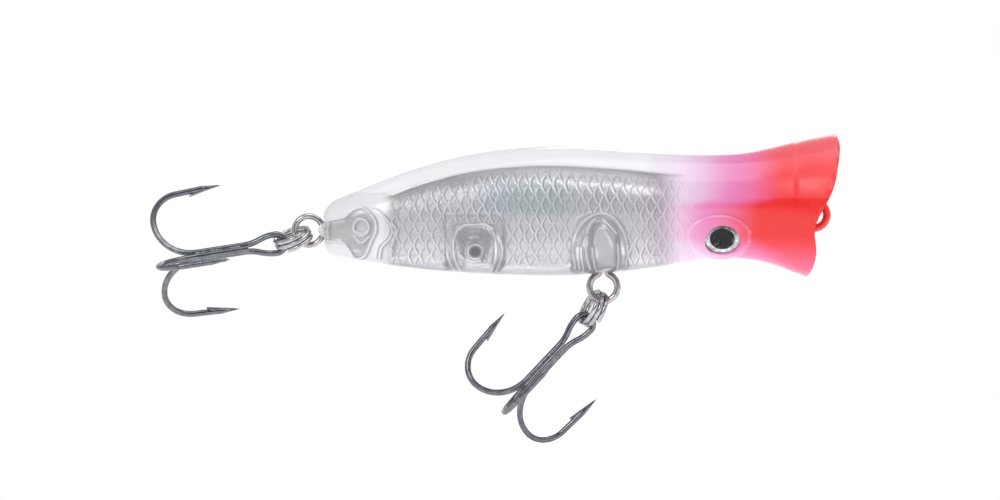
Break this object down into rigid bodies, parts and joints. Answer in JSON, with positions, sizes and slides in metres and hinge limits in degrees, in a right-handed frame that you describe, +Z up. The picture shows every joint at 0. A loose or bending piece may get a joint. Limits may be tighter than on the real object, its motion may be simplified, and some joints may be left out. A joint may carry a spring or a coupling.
{
  "type": "topwater popper",
  "caption": "Surface fishing lure with a hollow clear body, cupped mouth, red painted head, foil eyes, a loose ballast ball and treble hooks on split rings.",
  "frame": {"origin": "centre of the line-tie eye in the mouth", "axes": "+X forward out of the nose, +Z up as the lure swims, Y across; the body's seam lies on Y = 0"},
  "size_m": [0.0803, 0.0155, 0.036],
  "materials": {
    "clear_body": "clear polycarbonate with a slight haze, faded to red paint at the head",
    "painted_wire": "gloss red paint",
    "hanger_wire": "bright drawn wire",
    "chrome_ball": "polished",
    "eye_foil": "silver foil",
    "eye_pupil": "gloss black print",
    "eye_lens": "clear domed resin",
    "split_ring": "bright nickel plate",
    "hook_steel": "black nickel plate, glossy",
    "braze": "rough brazing metal under plate"
  },
  "bodies": {
    "root": {"right_shell": "clear_body", "left_shell": "clear_body", "line_tie": "painted_wire", "belly_hanger": "hanger_wire", "tail_hanger": "hanger_wire", "right_eye_foil": "eye_foil", "right_eye_pupil": "eye_pupil", "right_eye_lens": "eye_lens", "left_eye_foil": "eye_foil", "left_eye_pupil": "eye_pupil", "left_eye_lens": "eye_lens"},
    "ballast": {"ballast_ball": "chrome_ball"},
    "belly_ring": {"belly_split_ring": "split_ring"},
    "belly_treble": {"belly_double_hook": "hook_steel", "belly_single_hook": "hook_steel", "belly_hook_braze": "braze"},
    "tail_ring": {"tail_split_ring": "split_ring"},
    "tail_treble": {"tail_double_hook": "hook_steel", "tail_single_hook": "hook_steel", "tail_hook_braze": "braze"}
  },
  "joints": [
    {"name": "ballast_rattle", "type": "slide", "parent": "root", "child": "ballast", "axis": [0, 0, 1], "range_m": [-0.00045, 0.00005]},
    {"name": "belly_ring_swing", "type": "hinge", "parent": "root", "child": "belly_ring", "pos_m": [-0.02448, 0, -0.00842], "axis": [0, 1, 0], "range_deg": [-85, 20]},
    {"name": "belly_treble_swing", "type": "hinge", "parent": "belly_ring", "child": "belly_treble", "pos_m": [-0.02571, 0, -0.01089], "axis": [0.841, 0.342, -0.4193], "range_deg": [-40, 30]},
    {"name": "tail_ring_swing", "type": "hinge", "parent": "root", "child": "tail_ring", "pos_m": [-0.05866, 0, -0.00202], "axis": [0, 1, 0], "range_deg": [-60, 75]},
    {"name": "tail_treble_swing", "type": "hinge", "parent": "tail_ring", "child": "tail_treble", "pos_m": [-0.06064, 0, -0.00268], "axis": [0.3609, 0.309, -0.8799], "range_deg": [-38, 42]}
  ]
}
